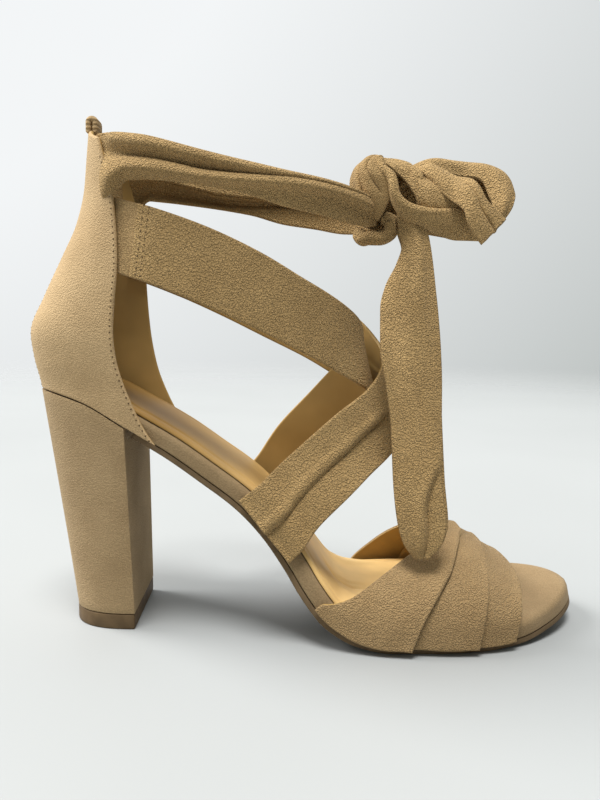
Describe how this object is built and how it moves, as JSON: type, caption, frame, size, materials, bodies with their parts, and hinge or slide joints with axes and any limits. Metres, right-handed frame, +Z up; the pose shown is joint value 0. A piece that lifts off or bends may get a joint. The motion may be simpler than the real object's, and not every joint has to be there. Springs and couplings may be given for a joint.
{
  "type": "block heel sandal",
  "caption": "High block heel sandal with a closed heel counter, straps crossed over the instep, a pleated toe band and an ankle ribbon tied in a bow.",
  "frame": {"origin": "middle of the shoe's box on the floor that it stands on", "axes": "+X to the toe, -Y to the outer side of the foot, +Z up"},
  "size_m": [0.2262, 0.0863, 0.2037],
  "materials": {
    "suede": "napped faux suede, matt",
    "lining": "smooth, half matt",
    "outsole_rubber": "matt",
    "heel_rubber": "half matt"
  },
  "bodies": {
    "root": {"outsole": "outsole_rubber", "insole_board": "suede", "insole_sock": "lining", "heel_block": "suede", "heel_tip": "heel_rubber", "upper": "suede", "front_band": "suede", "pull_tab": "suede", "ankle_tie_lateral": "suede", "ankle_tie_medial": "suede", "bow_knot": "suede", "bow_loop": "suede", "bow_hanging_loop": "suede"}
  },
  "joints": []
}
